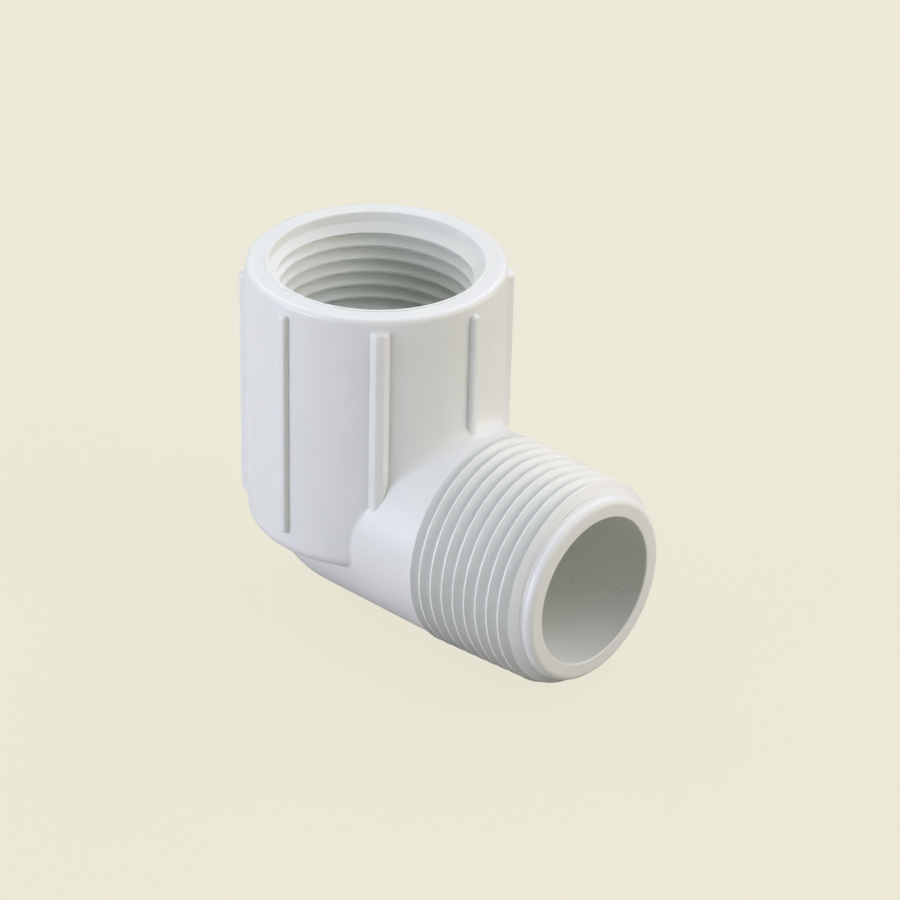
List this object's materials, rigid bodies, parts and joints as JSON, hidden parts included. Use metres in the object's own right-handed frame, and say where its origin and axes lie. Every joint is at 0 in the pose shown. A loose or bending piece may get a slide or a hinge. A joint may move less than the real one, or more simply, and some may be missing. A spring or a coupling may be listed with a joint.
{
  "type": "pvc elbow fitting",
  "caption": "Right-angle street elbow in white PVC: a ribbed female threaded socket turning into a male threaded spigot, for joining irrigation pipe.",
  "frame": {"origin": "where the socket axis and the spigot axis cross, which is the point that pipe centre-to-end lengths are measured from", "axes": "+Z along the socket axis out of the female mouth, +X along the spigot axis out of the male nose, +Y completes the right-handed frame"},
  "size_m": [0.0666, 0.0418, 0.0563],
  "materials": {
    "white_pvc": "satin gloss, as moulded"
  },
  "bodies": {
    "root": {"elbow_body": "white_pvc"}
  },
  "joints": []
}
